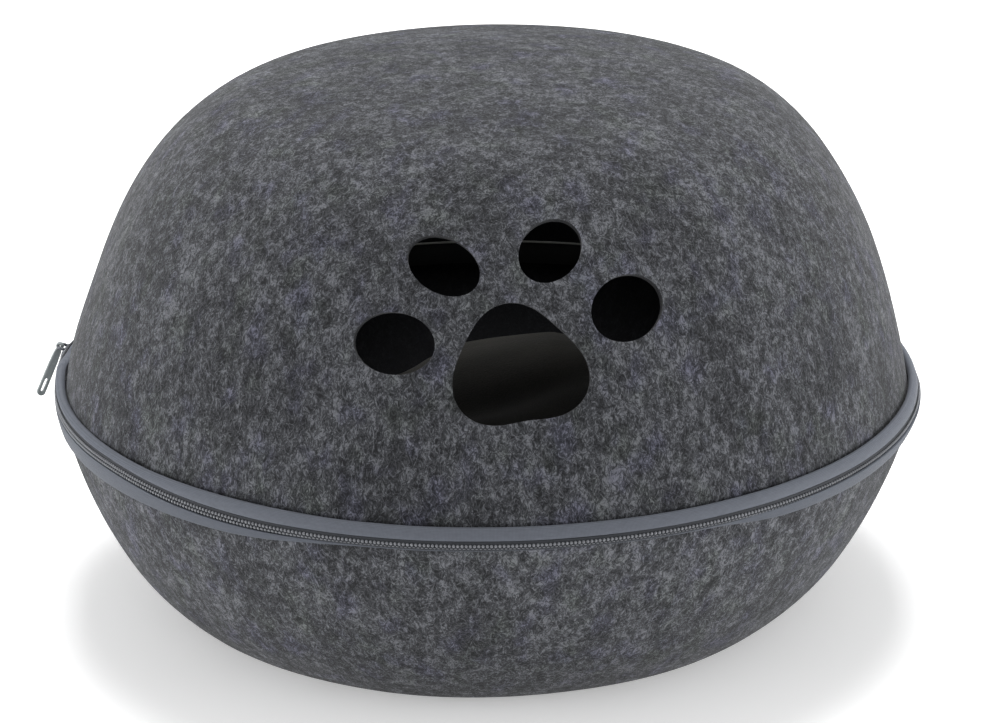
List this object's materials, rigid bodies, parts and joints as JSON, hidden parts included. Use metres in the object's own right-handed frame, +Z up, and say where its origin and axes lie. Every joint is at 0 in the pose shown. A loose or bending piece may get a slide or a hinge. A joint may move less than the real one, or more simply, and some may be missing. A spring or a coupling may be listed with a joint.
{
  "type": "felt cat cave",
  "caption": "Covered cat bed of moulded grey felt: a dome with a paw-shaped cut-out zipped to a flat-bottomed bowl, with a round cushion inside.",
  "frame": {"origin": "the centre of the bowl's flat bottom, on the surface that it stands on", "axes": "+Z up; the side with the paw holes faces -Y and the entrance faces +Y; the zip's slider is at -X"},
  "size_m": [0.5203, 0.5, 0.315],
  "materials": {
    "felt_dome": "dark grey heathered needle felt with light and dark fibres",
    "felt_bowl": "dark grey heathered needle felt with light and dark fibres",
    "woven_band": "smooth fine-woven blue-grey band",
    "woven_tape": "fine-woven blue-grey zip tape",
    "zip_coil": "grey nylon coil, satin",
    "slider_metal": "dark grey paint, satin",
    "pull_metal": "blue-grey paint, satin, worn at the edges",
    "cushion_cover": "dark short-pile cloth"
  },
  "bodies": {
    "root": {"dome": "felt_dome", "bowl": "felt_bowl", "zip_band_upper": "woven_band", "zip_tape_lower": "woven_tape", "zip_coil": "zip_coil", "zip_slider": "slider_metal", "zip_pull": "pull_metal", "cushion": "cushion_cover"}
  },
  "joints": []
}
